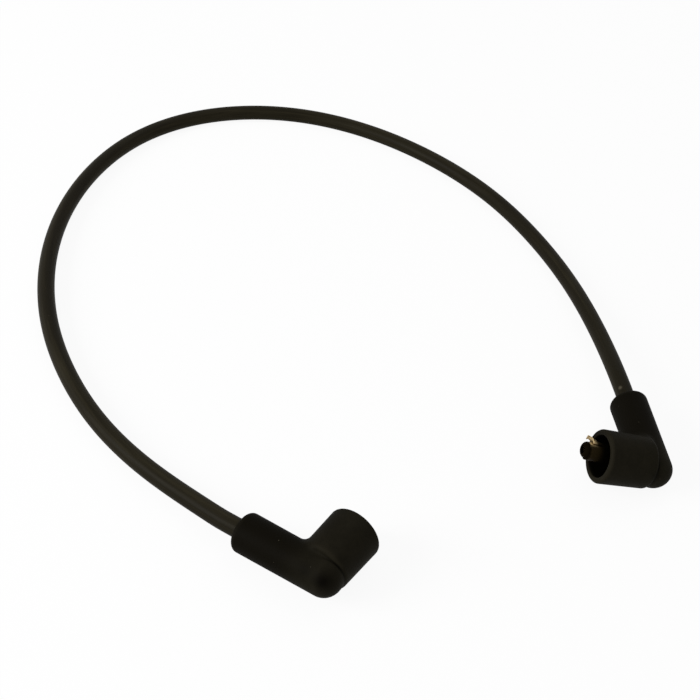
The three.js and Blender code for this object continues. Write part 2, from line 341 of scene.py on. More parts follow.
def boot_outside(x, y, z):
    from_sleeve_axis, from_cup_axis = np.hypot(y, z), np.hypot(x, z)
    sleeve_radius = ELBOW_RADIUS + (SLEEVE_RADIUS - ELBOW_RADIUS) * eased(x, *SLEEVE_GROWS)
    sleeve = rod(
        x, from_sleeve_axis, sleeve_radius, -HEEL_LENGTH, SLEEVE_LENGTH, HEEL_FILLET, SLEEVE_FILLET
    )
    cup_radius = CUP_RADIUS - CUP_TAPER * (1 - eased(y, *CUP_GROWS))
    cup = rod(y, from_cup_axis, cup_radius, CUP_BACK, CUP_LENGTH, CUP_BACK_FILLET, LIP_FILLET)
    fill = HEEL_FILL + (SLEEVE_FILL - HEEL_FILL) * eased(x, *FILL_GROWS)
    return blended(sleeve, cup, fill)


def boot_hollow(x, y, z):
    from_sleeve_axis, from_cup_axis = np.hypot(y, z), np.hypot(x, z)
    cup = rounded_edge(from_cup_axis - CUP_BORE, CUP_FLOOR - y, BORE_FILLET)
    chamber = rod(
        x, from_sleeve_axis, CHAMBER_RADIUS, -CHAMBER_BACK, CHAMBER_FRONT, *CHAMBER_FILLETS
    )
    grip = np.maximum(from_sleeve_axis - CABLE_GRIP, -x)
    return blended(cup, blended(chamber, grip, GRIP_BLEND), CUP_BLEND)


def boot_distance(points):
    x, y, z = points[:, 0], points[:, 1], points[:, 2]
    return rounded_edge(boot_outside(x, y, z), -boot_hollow(x, y, z), RIM_FILLET)


def boot_slope(points, step=0.02):
    """The direction in which the distance grows: away from the rubber."""
    slope = np.zeros_like(points)
    for k in range(3):
        shift = np.zeros(3)
        shift[k] = step
        slope[:, k] = (boot_distance(points + shift) - boot_distance(points - shift)) / (2 * step)
    return slope


# %% [markdown]
# ## From a distance to a skin
# The CAD boot is already close to that form, so it is the clay to start with. A voxel
# remesh gives it an even coat of small faces, and then each vertex is moved down the
# distance's slope until it lies on the surface. Between those moves the vertices are
# relaxed along the surface, which evens out the grid that the voxels leave.
# The surface's curvature is kept as well. The outer edges are painted a little paler, partly
# as wear and partly as a painted highlight, and shade is painted into the creases, so the
# materials will want to know where those are. Each boot also has a soft painted dark spot
# or two on its heel, painted shade at places of its own.

# %% Remesh a CAD boot and draw it to the surface
BOOT_VOXEL = 0.32
RELAX_ROUNDS = 6
FULL_BEND = 1.2
CREASE_FADES, HOLLOW_FADES, LIP_FADES = (-6, 1), (0.1, 0.5), (20.4, 21.6)
# Painted shade: soft dark spots on each boot's heel, at places of their own.
SHADE_SPOTS = {
    "distributor": [((-5.6, -4.9, -4.1), 2.4, 1.0), ((1.0, -5.2, -4.8), 1.9, 0.5)],
    "coil": [((-8.6, 2.2, 3.1), 1.3, 0.6)],
}


def evaluated_mesh(source, modifiers):
    """The mesh that an object has after some modifiers, with the object itself removed."""
    for kind, settings in modifiers:
        modifier = source.modifiers.new(kind, kind)
        for name, value in settings.items():
            setattr(modifier, name, value)
    bpy.context.view_layer.update()
    graph = bpy.context.evaluated_depsgraph_get()
    mesh = bpy.data.meshes.new_from_object(source.evaluated_get(graph))
    bpy.data.objects.remove(source)
    return mesh


def vertex_array(mesh):
    points = np.empty(len(mesh.vertices) * 3, np.float32)
    mesh.vertices.foreach_get("co", points)
    return points.reshape(-1, 3).astype(float)


def edge_array(mesh):
    edges = np.empty(len(mesh.edges) * 2, np.int32)
    mesh.edges.foreach_get("vertices", edges)
    return edges.reshape(-1, 2)


def onto_surface(points):
    for _ in range(3):
        slope = boot_slope(points)
        size = np.maximum((slope**2).sum(1), 0.2)
        points = points - slope * (boot_distance(points) / size)[:, None]
    return points


def relaxed(points, edges):
    """Each vertex moves halfway to its neighbours' middle, along the surface only."""
    total, count = np.zeros_like(points), np.zeros(len(points))
    for a, b in ((0, 1), (1, 0)):
        np.add.at(total, edges[:, a], points[edges[:, b]])
        np.add.at(count, edges[:, a], 1)
    move = 0.5 * (total / count[:, None] - points)
    normal = boot_slope(points)
    normal /= np.maximum(np.linalg.norm(normal, axis=1), 0.3)[:, None]
    return points + move - normal * (move * normal).sum(1)[:, None]


def curvature(points, step=0.35):
    """Above 0 where the surface bulges, below 0 where it folds in, in 1/mm."""
    total = -6 * boot_distance(points)
    for k in range(3):
        shift = np.zeros(3)
        shift[k] = step
        total += boot_distance(points + shift) + boot_distance(points - shift)
    return total / step**2


def in_shade_spots(points, spots):
    """1 in the middle of a painted dark spot, fading to 0 over its size in mm."""
    total = np.zeros(len(points))
    for middle, size, strength in spots:
        distance = np.linalg.norm(points - np.array(middle), axis=1)
        total = np.maximum(total, strength * np.exp(-((distance / size) ** 2) / 2))
    return total


def painted_shade_mask(points, bend, spots):
    """Painted shade lies in the crease round the heel, in the dark spots and inside the hollow."""
    x, y, z = points[:, 0], points[:, 1], points[:, 2]
    crease = np.clip(-bend / FULL_BEND, 0, 1) * (1 - eased(x, *CREASE_FADES))
    inside = (1 - eased(boot_hollow(x, y, z), *HOLLOW_FADES)) * (1 - eased(y, *LIP_FADES))
    return np.maximum(np.maximum(crease, in_shade_spots(points, spots)), inside)


def boot_skin(name, node, matrix, spots):
    clay = linked("clay", node.data.copy())
    clay.data.transform(matrix.inverted())
    remesh = {"mode": "VOXEL", "voxel_size": BOOT_VOXEL, "adaptivity": 0.0}
    mesh = evaluated_mesh(clay, [("REMESH", remesh)])
    points, edges = vertex_array(mesh), edge_array(mesh)
    for _ in range(RELAX_ROUNDS):
        points = relaxed(onto_surface(points), edges)
    points = onto_surface(points)
    mesh.vertices.foreach_set("co", points.astype(np.float32).ravel())
    mesh.materials.clear()
    keep_vectors(mesh, "own_place", points)
    bend = curvature(points)
    # Painted highlight and wear: the convex edges, stored for the material to paint paler.
    keep_numbers(mesh, "edge", np.clip(bend / FULL_BEND, 0, 1))
    # Painted shade, stored for the material: the crease, the heel spots and the hollow.
    keep_numbers(mesh, "painted_shade", painted_shade_mask(points, bend, spots))
    mesh.transform(matrix)
    shade_smooth(mesh)
    made = linked(name, mesh)
    off = np.abs(boot_distance(points)).max()
    print(f"{name}: {len(mesh.polygons)} faces, at most {off:.3f} mm off the surface")
    return made


boots = {}
for end, matrix in end_frames.items():
    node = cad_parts[f"{end}_boot"]
    corners = np.array([matrix.inverted() @ v.co for v in node.data.vertices])
    print(f"{end} CAD boot: vertices up to {np.abs(boot_distance(corners)).max():.2f} mm off the form")
    boot = boot_skin(f"{end}_boot_skin", node, matrix, SHADE_SPOTS[end])
    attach(boot, "root")
    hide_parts(f"{end}_boot")
    boots[end] = boot

# %% [markdown]
# ## The terminals
# Each terminal is stamped from half-millimetre sheet brass and rolled up: a nose tube with
# a rolled-in end, an outer turn round it with one spring leaf, a strap back to the elbow,
# and a foot with two pairs of wings that are crimped round the cable. Cutting all this
# out of solids would work, but sheet metal is better drawn as what it is. The middle of
# the sheet is laid out as patches of small faces, Solidify gives it its thickness, and a
# narrow bevel breaks its edges so that they catch the light. The leaf is wider here than
# the CAD model's and flares more.

# %% Patches of sheet
SHEET = 0.5
SEAM, LEAF_SLIT = 0.7, 0.8
SEAM_ANGLE = 260.0
LEAF_SIDES = (5.0, 92.0)
BORDERS = [*LEAF_SIDES, SEAM_ANGLE, LEAF_SIDES[0] + 360]
ANGLE_STEP = 2.5


def patch(rows):
    """Faces over a grid of points, given as rows of equal length."""
    rows = np.array(rows, float)
    count = rows.shape[1]
    faces = [
        (r * count + c, r * count + c + 1, (r + 1) * count + c + 1, (r + 1) * count + c)
        for r in range(rows.shape[0] - 1)
        for c in range(count - 1)
    ]
    return rows.reshape(-1, 3), faces


def around_cup(angle, radius, height):
    """A point round the cup's axis."""
    a = math.radians(angle)
    return (radius * math.cos(a), height, radius * math.sin(a))


def half_gap(border, radius, slotted):
    """Half the width of the gap at a border, as an angle; the seam is open all along."""
    width = SEAM if border == SEAM_ANGLE else LEAF_SLIT * slotted
    return math.degrees(math.asin(width / 2 / radius))


def sector_angles(share, radius, slotted):
    """Angles from a border to the next one; share 0 is the leaf's."""
    low, high = BORDERS[share], BORDERS[share + 1]
    first = low + half_gap(low, radius, slotted)
    last = high - half_gap(high, radius, slotted)
    return np.clip(np.arange(low, high + 0.1, ANGLE_STEP), first, last)


def sector(share, radius, height, slotted):
    """One row of points round the cup's axis, at one radius and height."""
    return [around_cup(a, radius, height) for a in sector_angles(share, radius, slotted)]


# %% The nose, its outer turn and the spring leaf
NOSE_TIP, NOSE_FILLET, BARREL_BACK = 29.0, 1.6, 10.4
NOSE_MIDDLE, TURN_MIDDLE = 2.85, 3.36
TURN_EDGE = NOSE_TIP - NOSE_FILLET
LEAF_ROOT, LEAF_EDGE, LEAF_FLARE = 22.3, 26.2, 2.0
BARB_ANGLE, BARB_WIDTH, BARB_REACH = 17.0, 2.6, 0.9


def nose_patches():
    curl = NOSE_FILLET - SHEET / 2
    rows = [(NOSE_MIDDLE, h) for h in [*np.arange(BARREL_BACK, TURN_EDGE - 0.5, 1.0), TURN_EDGE]]
    for a in np.radians(np.linspace(15, 90, 6)):
        rows.append((NOSE_MIDDLE - curl * (1 - math.cos(a)), TURN_EDGE + curl * math.sin(a)))
    for share in range(3):
        yield patch([sector(share, radius, height, False) for radius, height in rows])


def leaf_radius(height, angle):
    """The leaf flares toward its edge, most at the corner and not at all at its far side."""
    t = float(eased(height, LEAF_ROOT, LEAF_EDGE))
    share = 1 - float(eased(angle, BARB_ANGLE + 8, LEAF_SIDES[1]))
    return TURN_MIDDLE + LEAF_FLARE * share * (0.5 * t + 0.5 * t**3)


def leaf_row(height):
    angles = sector_angles(0, TURN_MIDDLE, True)
    return [around_cup(a, leaf_radius(height, a), height) for a in angles]


def turn_patches():
    heights = [*np.arange(BARREL_BACK, LEAF_ROOT, 0.85), LEAF_ROOT]
    slit_start = LEAF_ROOT + 0.3
    for share in range(3):
        rows = [sector(share, TURN_MIDDLE, h, False) for h in heights]
        if share == 0:
            rows += [leaf_row(h) for h in np.linspace(slit_start, LEAF_EDGE, 11)]
        else:
            slit_heights = np.linspace(slit_start, TURN_EDGE, 7)
            rows += [sector(share, TURN_MIDDLE, h, True) for h in slit_heights]
        yield patch(rows)


def barb_patch():
    """The corner of the leaf, bent out to a point."""
    foot = leaf_radius(LEAF_EDGE, BARB_ANGLE)
    rows = []
    for t in np.linspace(0, 1, 7):
        half = math.degrees(BARB_WIDTH / 2 / foot) * (1 - t)
        out = foot + BARB_REACH * t - 0.05
        up = LEAF_EDGE - 0.02 - 0.22 * math.sin(t * math.pi / 2)
        rows.append([around_cup(BARB_ANGLE + u * half, out, up) for u in np.linspace(-1, 1, 9)])
    return patch(rows)


# %% The strap, the foot and the crimp wings
CRIMP_MIDDLE = 4.05
STRAP_HALF_ANGLE = 40.0
ELBOW_BEND = 1.25
STRAP_ROUNDS, FOOT_ROUNDS = (0, 9), (-1, 6)
WING_SPANS = [(7.5, 10.5), (11.5, 15.0)]
WING_END_ANGLE = 171.5
FOOT_HALF_ANGLE = math.degrees(math.radians(STRAP_HALF_ANGLE) * TURN_MIDDLE / CRIMP_MIDDLE)


def rolled_strip(share, half_angle, radius, roundness):
    """A strip's section, between flat at 0 and rolled to the radius at 1: (sideways, inwards)."""
    angle = math.radians(share * half_angle)
    sideways = roundness * radius * math.sin(angle) + (1 - roundness) * radius * angle
    return sideways, roundness * radius * (1 - math.cos(angle))


def strap_rows():
    """Rows along the strap, from the barrel down round the elbow and out under the cable."""
    shares = np.linspace(-1, 1, 33)
    rows = []
    for height in np.linspace(BARREL_BACK, ELBOW_BEND - CRIMP_MIDDLE, 16):
        roundness = float(eased(height, *STRAP_ROUNDS))
        strip = [rolled_strip(u, STRAP_HALF_ANGLE, TURN_MIDDLE, roundness) for u in shares]
        rows.append([(inwards - TURN_MIDDLE, height, -sideways) for sideways, inwards in strip])
    centre = (ELBOW_BEND - TURN_MIDDLE, ELBOW_BEND - CRIMP_MIDDLE)
    for bend in np.linspace(10, 80, 8):
        x = centre[0] - ELBOW_BEND * math.cos(math.radians(bend))
        y = centre[1] - ELBOW_BEND * math.sin(math.radians(bend))
        strip = [rolled_strip(u, STRAP_HALF_ANGLE, TURN_MIDDLE, 0) for u in shares]
        rows.append([(x, y, -sideways) for sideways, _ in strip])
    for x in np.arange(-2.0, 15.01, 0.5):
        roundness = float(eased(x, *FOOT_ROUNDS))
        strip = [rolled_strip(u, FOOT_HALF_ANGLE, CRIMP_MIDDLE, roundness) for u in shares]
        rows.append([(x, inwards - CRIMP_MIDDLE, -sideways) for sideways, inwards in strip])
    return rows


def around_cable(angle, x):
    """A point round the cable's axis; 0 is the foot's middle."""
    a = math.radians(angle)
    return (x, -CRIMP_MIDDLE * math.cos(a), -CRIMP_MIDDLE * math.sin(a))


def wing_patches():
    for low, high in WING_SPANS:
        for side in (-1, 1):
            angles = np.linspace(side * FOOT_HALF_ANGLE, side * WING_END_ANGLE, 29)
            places = np.arange(low, high + 0.01, 0.5)
            yield patch([[around_cable(a, x) for a in angles] for x in places])


# %% [markdown]
# The barrel doesn't stand quite in line with its cup. The two leans below are the CAD
# model's, and the strap takes them up gradually above the elbow. The patches are then
# joined, given their thickness and bevelled, and moved to the end that they belong to.

# %% Join the patches and place the two terminals
BEND_POINT = Vector((-3.35, -4.05, 0))
EDGE_BREAK = 0.06
WELD_DISTANCE = 0.004
BEVEL_ABOVE, SHARP_ABOVE = math.radians(50), math.radians(45)
LEANS = {"distributor": (3.0, 5.0), "coil": (1.8, 2.3)}


def leaning(point, lean):
    side, up = lean
    share = float(eased(point[1], -2.8, 3))
    tilt = turn(-side * share, "Z") @ turn(up * share, "X")
    return BEND_POINT + tilt @ (Vector(point) - BEND_POINT)


def sheet_mesh(name, patches):
    joined = bmesh.new()
    for points, faces in patches:
        corners = [joined.verts.new(p) for p in points]
        for face in faces:
            joined.faces.new([corners[i] for i in face])
    bmesh.ops.remove_doubles(joined, verts=joined.verts, dist=WELD_DISTANCE)
    bmesh.ops.dissolve_degenerate(joined, edges=joined.edges, dist=WELD_DISTANCE)
    bmesh.ops.recalc_face_normals(joined, faces=joined.faces)
    mesh = bpy.data.meshes.new(name)
    joined.to_mesh(mesh)
    joined.free()
    return mesh


def terminal(name, lean, matrix):
    leaning_patches = [*nose_patches(), *turn_patches(), barb_patch(), patch(strap_rows())]
    patches = [([leaning(p, lean) for p in points], faces) for points, faces in leaning_patches]
    patches += list(wing_patches())
    blank = linked("blank", sheet_mesh(name, patches))
    thicken = {"thickness": SHEET, "offset": 0.0, "use_even_offset": True}
    bevel = {"width": EDGE_BREAK, "segments": 2, "limit_method": "ANGLE", "angle_limit": BEVEL_ABOVE}
    mesh = evaluated_mesh(blank, [("SOLIDIFY", thicken), ("BEVEL", bevel)])
    keep_vectors(mesh, "own_place", vertex_array(mesh))
    mesh.transform(matrix)
    shade_smooth(mesh)
    mesh.set_sharp_from_angle(angle=SHARP_ABOVE)
    made = linked(name, mesh)
    print(f"{name}: {len(mesh.polygons)} faces")
    return made


terminals = {}
for end, matrix in end_frames.items():
    brass = terminal(f"{end}_terminal_brass", LEANS[end], matrix)
    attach(brass, "root")
    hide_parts(f"{end}_terminal")
    terminals[end] = brass

# %% [markdown]
# ## Helpers for materials
# A material is a small machine of nodes. Adding nodes one call at a time hides what they
# do, so three short helpers keep the recipes readable: one adds a node and feeds it, one
# does arithmetic, and one turns a range of values into a soft mask from 0 to 1.

# %% Node helpers
def add(tree, kind, feeds=(), **settings):
    """Adds a node; feeds gives its inputs sockets to link or plain values."""
    made = tree.nodes.new(kind)
    for name, value in settings.items():
        setattr(made, name, value)
    for name, value in dict(feeds).items():
        if isinstance(value, bpy.types.NodeSocket):
            tree.links.new(value, made.inputs[name])
        else:
            made.inputs[name].default_value = value
    return made


def maths(tree, operation, a, b=0.0):
    return add(tree, "ShaderNodeMath", {0: a, 1: b}, operation=operation).outputs[0]


def soft_mask(tree, value, low, high):
    feeds = {"Value": value, "From Min": low, "From Max": high}
    return add(tree, "ShaderNodeMapRange", feeds, interpolation_type="SMOOTHSTEP").outputs["Result"]


def noise(tree, place, scale, detail=3.0, roughness=0.5):
    feeds = {"Vector": place, "Scale": scale, "Detail": detail, "Roughness": roughness}
    return add(tree, "ShaderNodeTexNoise", feeds).outputs["Fac"]


def mixed(tree, share, a, b):
    return add(tree, "ShaderNodeMix", {0: share, 6: a, 7: b}, data_type="RGBA").outputs[2]


def new_group(name, inputs, outputs):
    """A node group with named sockets, and its input and output nodes."""
    tree = bpy.data.node_groups.new(name, "ShaderNodeTree")
    for socket, kind in inputs.items():
        tree.interface.new_socket(socket, in_out="INPUT", socket_type=kind)
    for socket, kind in outputs.items():
        tree.interface.new_socket(socket, in_out="OUTPUT", socket_type=kind)
    return tree, tree.nodes.new("NodeGroupInput").outputs, tree.nodes.new("NodeGroupOutput").inputs


FLOAT, COLOUR, VECTOR = "NodeSocketFloat", "NodeSocketColor", "NodeSocketVector"

# %% [markdown]
# ## Rubber skin, an effect of its own
# Boot, jacket and insulation are all rubber, and rubber is never one flat black. A faint
# pale bloom comes to its surface in clouds, the moulded or extruded skin has a fine
# grain, and handling polishes some places more than others. Because more than one
# material needs it, the effect is a node group. It gives a colour, a roughness and a
# height, and each material feeds it its own colours and grain.

# %% Group: rubber skin
skin_group, given, result = new_group(
    "rubber_skin",
    {"Place": VECTOR, "Colour": COLOUR, "Bloom Colour": COLOUR, "Bloom": FLOAT, "Grain Scale": FLOAT,
     "Roughness": FLOAT, "Roughness Spread": FLOAT},
    {"Colour": COLOUR, "Roughness": FLOAT, "Height": FLOAT},
)
clouds = noise(skin_group, given["Place"], 0.16, 4.0, 0.6)
blotches = noise(skin_group, given["Place"], 0.9, 3.0, 0.6)
cloud_sum = maths(skin_group, "ADD", maths(skin_group, "MULTIPLY", clouds, 0.7),
                  maths(skin_group, "MULTIPLY", blotches, 0.3))
cloud_mask = soft_mask(skin_group, cloud_sum, 0.38, 0.68)
bloom_share = maths(skin_group, "MULTIPLY", cloud_mask, given["Bloom"])
grain = noise(skin_group, given["Place"], given["Grain Scale"], 2.0, 0.6)
off_middle = maths(skin_group, "SUBTRACT", blotches, 0.5)
swing = maths(skin_group, "MULTIPLY", off_middle, given["Roughness Spread"])
bloomed = mixed(skin_group, bloom_share, given["Colour"], given["Bloom Colour"])
skin_group.links.new(bloomed, result["Colour"])
skin_group.links.new(maths(skin_group, "ADD", given["Roughness"], swing), result["Roughness"])
height = maths(skin_group, "ADD", grain, maths(skin_group, "MULTIPLY", blotches, 0.6))
skin_group.links.new(height, result["Height"])
print("group:", skin_group.name, [s.name for s in skin_group.interface.items_tree])

# %% [markdown]
# ## Clinging dust, shared by boots and jacket
# Rubber is slightly tacky, so a few grains of dust and lint stay on it. They could be
# scattered as tiny meshes, but at a tenth of a millimetre a mask is enough. Voronoi cells
# give each grain a place of its own, and a random number per cell decides which of them
# hold one.

# %% Group: clinging dust
dust_group, given, result = new_group(
    "clinging_dust",
    {"Place": VECTOR, "Colour": COLOUR, "Dust Colour": COLOUR, "Amount": FLOAT, "Speck Size": FLOAT},
    {"Colour": COLOUR, "Mask": FLOAT},
)
cell_feeds = {"Vector": given["Place"], "Scale": 0.55, "Randomness": 1.0}
cells = add(dust_group, "ShaderNodeTexVoronoi", cell_feeds)
lottery = add(dust_group, "ShaderNodeSeparateColor", {"Color": cells.outputs["Color"]}).outputs[0]
chosen = maths(dust_group, "LESS_THAN", lottery, given["Amount"])
inner = maths(dust_group, "MULTIPLY", given["Speck Size"], 0.4)
outside = soft_mask(dust_group, cells.outputs["Distance"], inner, given["Speck Size"])
specks = maths(dust_group, "SUBTRACT", 1.0, outside)
dust_mask = maths(dust_group, "MULTIPLY", specks, chosen)
dusted = mixed(dust_group, dust_mask, given["Colour"], given["Dust Colour"])
dust_group.links.new(dusted, result["Colour"])
dust_group.links.new(dust_mask, result["Mask"])
print("group:", dust_group.name, [s.name for s in dust_group.interface.items_tree])

# %% [markdown]
# ## Tarnish, shared by brass and copper
# Bare metal dulls in patches where fingers and damp reach it. The group darkens and
# browns the metal by a mask of soft clouds, and hands the mask on, so that each material
# can roughen the same patches.

# %% Group: tarnish
tarnish_group, given, result = new_group(
    "tarnish",
    {"Place": VECTOR, "Bright Colour": COLOUR, "Dull Colour": COLOUR, "Amount": FLOAT},
    {"Colour": COLOUR, "Mask": FLOAT},
)
stains = noise(tarnish_group, given["Place"], 0.45, 5.0, 0.62)
fine_stains = noise(tarnish_group, given["Place"], 2.6, 3.0, 0.6)
stain_sum = maths(tarnish_group, "ADD", maths(tarnish_group, "MULTIPLY", stains, 0.7),
                  maths(tarnish_group, "MULTIPLY", fine_stains, 0.3))
stain_mask = soft_mask(tarnish_group, stain_sum, 0.36, 0.66)
tarnish_mask = maths(tarnish_group, "MULTIPLY", stain_mask, given["Amount"])
stained = mixed(tarnish_group, tarnish_mask, given["Bright Colour"], given["Dull Colour"])
tarnish_group.links.new(stained, result["Colour"])
tarnish_group.links.new(tarnish_mask, result["Mask"])
print("group:", tarnish_group.name, [s.name for s in tarnish_group.interface.items_tree])

# %% [markdown]
# ## Boot rubber
# The boots are matt black with a warm brown cast. The cup and heel are painted paler than
# the sleeve, partly by a stronger pale bloom and partly as painted light. The outer edges,
# such as the lips of cup and sleeve, are painted a little paler, partly as wear and partly
# as a painted highlight, and painted shade keeps the crease, the heel spots and the hollow
# dark. Those masks were stored with the mesh, so the material only mixes them in. The
# shader stays in the material, with each plain number on its socket.

# %% Material: boot rubber
def linear(red, green, blue):
    """A colour picked from a screen, 0 to 255, as the linear colour that nodes use."""
    values = [v / 255 for v in (red, green, blue)]
    return (*[v / 12.92 if v <= 0.04045 else ((v + 0.055) / 1.055) ** 2.4 for v in values], 1.0)


def new_material(name):
    made = bpy.data.materials.new(name)
    made.use_nodes = True
    made.node_tree.nodes.clear()
    return made, made.node_tree


def effect(tree, group, feeds):
    return add(tree, "ShaderNodeGroup", feeds_after(group, feeds), node_tree=group).outputs


def feeds_after(group, feeds):
    known = [s.name for s in group.interface.items_tree if s.in_out == "INPUT"]
    assert set(feeds) <= set(known), f"{group.name} has no input {set(feeds) - set(known)}"
    return feeds


def stored(tree, name, output):
    return add(tree, "ShaderNodeAttribute", attribute_name=name).outputs[output]


def surface(tree, shader_feeds, height, bump_distance, bump_strength):
    """The Principled BSDF with a bump, joined to the material's output."""
    bump_feeds = {"Height": height, "Distance": bump_distance, "Strength": bump_strength}
    normal = add(tree, "ShaderNodeBump", bump_feeds).outputs["Normal"]
    shader = add(tree, "ShaderNodeBsdfPrincipled", {**shader_feeds, "Normal": normal})
    add(tree, "ShaderNodeOutputMaterial", {"Surface": shader.outputs["BSDF"]})


# Painted light and bloom: the cup and heel are painted paler than the sleeve.
BLOOM_AND_LIGHT_FADES = (-6, 13)

boot_rubber, tree = new_material("boot_rubber")
place = stored(tree, "own_place", "Vector")
along_sleeve = add(tree, "ShaderNodeSeparateXYZ", {0: place}).outputs["X"]
bloom_and_light = maths(tree, "SUBTRACT", 1.0, soft_mask(tree, along_sleeve, *BLOOM_AND_LIGHT_FADES))
skin = effect(tree, skin_group, {
    "Place": place, "Colour": mixed(tree, bloom_and_light, linear(10, 8, 4), linear(24, 22, 15)),
    "Bloom Colour": linear(34, 31, 23), "Bloom": maths(tree, "MULTIPLY", bloom_and_light, 0.45),
    "Grain Scale": 3.2, "Roughness": 0.62, "Roughness Spread": 0.14,
})
dusty = effect(tree, dust_group, {
    "Place": place, "Colour": skin["Colour"], "Dust Colour": linear(74, 68, 58),
    "Amount": 0.1, "Speck Size": 0.1,
})
# Outer edges painted paler: partly wear, partly a painted highlight.
edge_wear_and_highlight = maths(tree, "MULTIPLY", stored(tree, "edge", "Fac"), 0.12)
paler = mixed(tree, edge_wear_and_highlight, dusty["Colour"], linear(46, 41, 31))
# Painted shade: the crease, the heel spots and the hollow are painted near black.
with_painted_shade = mixed(tree, maths(tree, "MULTIPLY", stored(tree, "painted_shade", "Fac"), 0.9), paler, linear(3, 2, 1))
surface(
    tree,
    {"Base Color": with_painted_shade, "Roughness": skin["Roughness"], "Specular IOR Level": 0.02},
    skin["Height"], 0.03 * MM, 0.6,
)
for boot in boots.values():
    boot.data.materials.append(boot_rubber)

# %% [markdown]
# ## Jacket rubber
# The jacket is smoother than the boots, for it comes polished from the extruder's die,
# and its reflections run along it in faint brownish and greenish streaks. The straight
# place is squeezed along the cable before it reaches the noise, which draws every cloud
# out into a streak. One small pale spot is painted just before the coil boot, as on the
# real lead.

# %% Material: jacket rubber
STREAK_SQUEEZE = 0.05
# A small pale spot painted on the jacket just before the coil boot.
PALE_SPOT_ALONG = 653.3
PALE_SPOT_SIDE = (2.25, 2.68)
PALE_SPOT_SIZE = 1.2

jacket_rubber, tree = new_material("jacket_rubber")
straight = stored(tree, "straight", "Vector")
squeeze = {"Vector": straight, "Scale": (1, 1, STREAK_SQUEEZE)}
drawn_out = add(tree, "ShaderNodeMapping", squeeze).outputs["Vector"]
skin = effect(tree, skin_group, {
    "Place": drawn_out, "Colour": linear(25, 22, 14), "Bloom Colour": linear(47, 43, 31), "Bloom": 0.7,
    "Grain Scale": 4.5, "Roughness": 0.46, "Roughness Spread": 0.22,
})
dusty = effect(tree, dust_group, {
    "Place": straight, "Colour": skin["Colour"], "Dust Colour": linear(84, 78, 66),
    "Amount": 0.08, "Speck Size": 0.09,
})
pale_spot_place = (*PALE_SPOT_SIDE, PALE_SPOT_ALONG)
from_pale_spot = add(tree, "ShaderNodeVectorMath", {0: straight, 1: pale_spot_place}, operation="DISTANCE")
off_pale_spot = soft_mask(tree, from_pale_spot.outputs["Value"], 0.1 * PALE_SPOT_SIZE, PALE_SPOT_SIZE)
with_pale_spot = mixed(tree, off_pale_spot, linear(70, 65, 54), dusty["Colour"])
surface(
    tree,
    {"Base Color": with_pale_spot, "Roughness": skin["Roughness"], "Specular IOR Level": 0.03},
    skin["Height"], 0.02 * MM, 0.5,
)
jacket.data.materials.append(jacket_rubber)

# %% [markdown]
# ## Brass
# The terminals are plain yellow brass, rolled from sheet. One side of the barrel, outside
# the cup, is painted bright and bare as a painted highlight, with patches of brown tarnish;
# the other side is painted dark olive as painted shade, near black down in the cup. The
# nose is painted almost black as painted shade. All the zones are drawn from the place in
# the end's own frame: an angle round the cup's axis, and a height along it.

# %% Material: brass
# Painted light on the brass: a bright lit side, a shaded side and a dark nose.
DARK_NOSE_FROM = 27.0
LIT_SIDE = (math.radians(-10), math.radians(88))
LIT_SIDE_SOFTNESS = math.radians(14)
LIT_FROM = 23.8

brass_metal, tree = new_material("terminal_brass")
place = stored(tree, "own_place", "Vector")
spots = noise(tree, place, 1.6)
parts = add(tree, "ShaderNodeSeparateXYZ", {0: place}).outputs
angle = maths(tree, "ARCTAN2", parts["Z"], parts["X"])
around = maths(tree, "ADD", angle, maths(tree, "MULTIPLY", spots, 0.2))
past_first = soft_mask(tree, around, LIT_SIDE[0] - LIT_SIDE_SOFTNESS, LIT_SIDE[0] + LIT_SIDE_SOFTNESS)
past_last = soft_mask(tree, around, LIT_SIDE[1] - LIT_SIDE_SOFTNESS, LIT_SIDE[1] + LIT_SIDE_SOFTNESS)
near_nose = soft_mask(tree, parts["Y"], LIT_FROM, LIT_FROM + 1.5)
# Painted highlight: one side of the barrel, outside the cup, is painted bright and more metallic.
lit_side = maths(tree, "MULTIPLY", maths(tree, "SUBTRACT", past_first, past_last), near_nose)
tarnished = effect(tree, tarnish_group, {
    "Place": place, "Bright Colour": linear(188, 166, 124), "Dull Colour": linear(118, 98, 62),
    "Amount": 0.7,
})
# Painted shade: the other side is painted dark olive, and near black down in the cup.
in_the_open = soft_mask(tree, parts["Y"], LIT_FROM - 2.5, LIT_FROM + 0.8)
shade_colour = mixed(tree, in_the_open, linear(7, 5, 2), linear(34, 27, 14))
colour = mixed(tree, lit_side, shade_colour, tarnished["Colour"])
# Painted shade: the nose is painted almost black and less metallic.
ragged = maths(tree, "ADD", parts["Y"], maths(tree, "MULTIPLY", spots, 0.5))
dark_nose = soft_mask(tree, ragged, DARK_NOSE_FROM, DARK_NOSE_FROM + 0.6)
colour = mixed(tree, dark_nose, colour, linear(12, 8, 3))
dull = maths(tree, "ADD", maths(tree, "MULTIPLY", tarnished["Mask"], 0.2), 0.38)
roughness = maths(tree, "ADD", dull, maths(tree, "MULTIPLY", dark_nose, 0.25))
metal_share = maths(tree, "ADD", 0.35, maths(tree, "MULTIPLY", lit_side, 0.65))
metallic = maths(tree, "MULTIPLY", metal_share, maths(tree, "SUBTRACT", 1.0, dark_nose))
rolled = add(tree, "ShaderNodeMapping", {"Vector": place, "Scale": (6, 0.4, 6)}).outputs["Vector"]
surface(
    tree,
    {"Base Color": colour, "Metallic": metallic, "Roughness": roughness, "Specular IOR Level": 0.01},
    noise(tree, rolled, 1.0), 0.02 * MM, 0.4,
)
for brass in terminals.values():
    brass.data.materials.append(brass_metal)

# %% [markdown]
# ## Insulation and conductor
# Both lie inside the jacket, and only their ends can be seen, deep in the boots. The CAD
# solids have the right shape, so they stay, and only their finish is made here.

